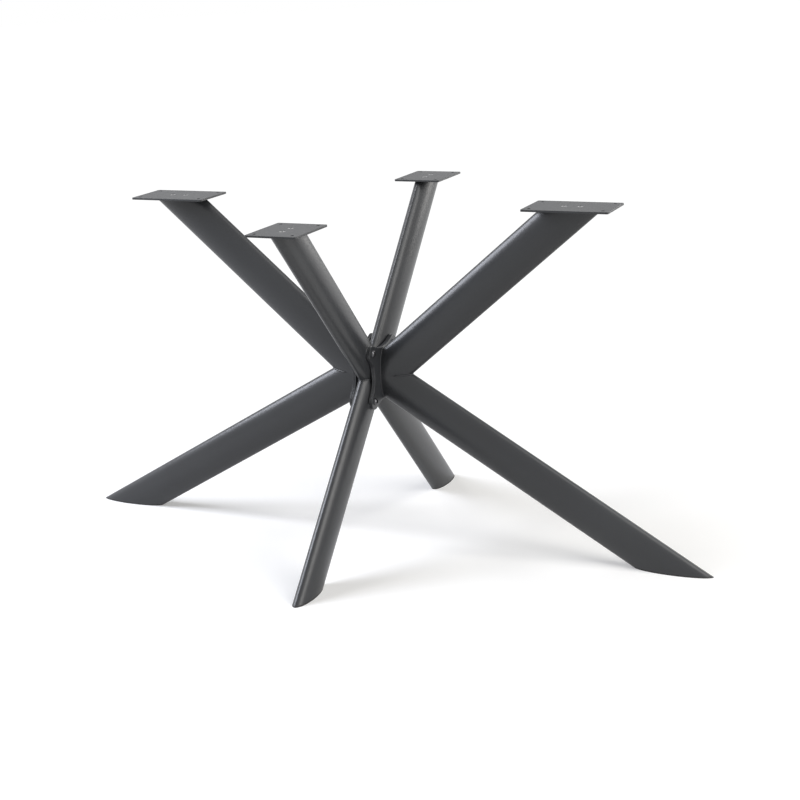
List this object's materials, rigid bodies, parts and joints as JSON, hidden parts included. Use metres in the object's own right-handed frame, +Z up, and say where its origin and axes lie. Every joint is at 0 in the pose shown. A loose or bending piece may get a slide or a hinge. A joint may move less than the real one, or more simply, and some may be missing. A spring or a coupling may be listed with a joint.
{
  "type": "table frame",
  "caption": "Spider table frame of oval steel tubes that cross at mid height, with flat top plates to carry a table top and feet cut flush with the floor.",
  "frame": {"origin": "floor point under the middle of the joint", "axes": "+Z up, +X along the long pair of sides towards the right side, +Y towards the back side"},
  "size_m": [1.433, 0.7836, 0.72],
  "materials": {
    "coated_steel": "satin anthracite powder coat with a fine grain",
    "plate_screw_steel": "dark zinc-plated steel, bright at the socket's rim",
    "joint_bolt_steel": "black oxide steel, semi-gloss",
    "weld_nut_steel": "bright zinc",
    "foot_plastic": "black moulded plastic, matt"
  },
  "bodies": {
    "root": {"arm_left": "coated_steel", "arm_right": "coated_steel", "arm_front": "coated_steel", "arm_back": "coated_steel", "leg_left": "coated_steel", "leg_right": "coated_steel", "leg_front": "coated_steel", "leg_back": "coated_steel", "top_plate_left": "coated_steel", "top_plate_right": "coated_steel", "top_plate_front": "coated_steel", "top_plate_back": "coated_steel", "arm_cap_left": "coated_steel", "arm_cap_right": "coated_steel", "arm_cap_front": "coated_steel", "arm_cap_back": "coated_steel", "core_plate_left": "coated_steel", "core_plate_right": "coated_steel", "joint_plate_left": "coated_steel", "joint_plate_right": "coated_steel", "plate_screws_left": "plate_screw_steel", "plate_screws_right": "plate_screw_steel", "plate_screws_front": "plate_screw_steel", "plate_screws_back": "plate_screw_steel", "joint_bolts_left": "joint_bolt_steel", "joint_bolts_right": "joint_bolt_steel", "joint_nuts_left": "weld_nut_steel", "joint_nuts_right": "weld_nut_steel", "foot_cap_left": "foot_plastic", "foot_cap_right": "foot_plastic", "foot_cap_front": "foot_plastic", "foot_cap_back": "foot_plastic"}
  },
  "joints": []
}
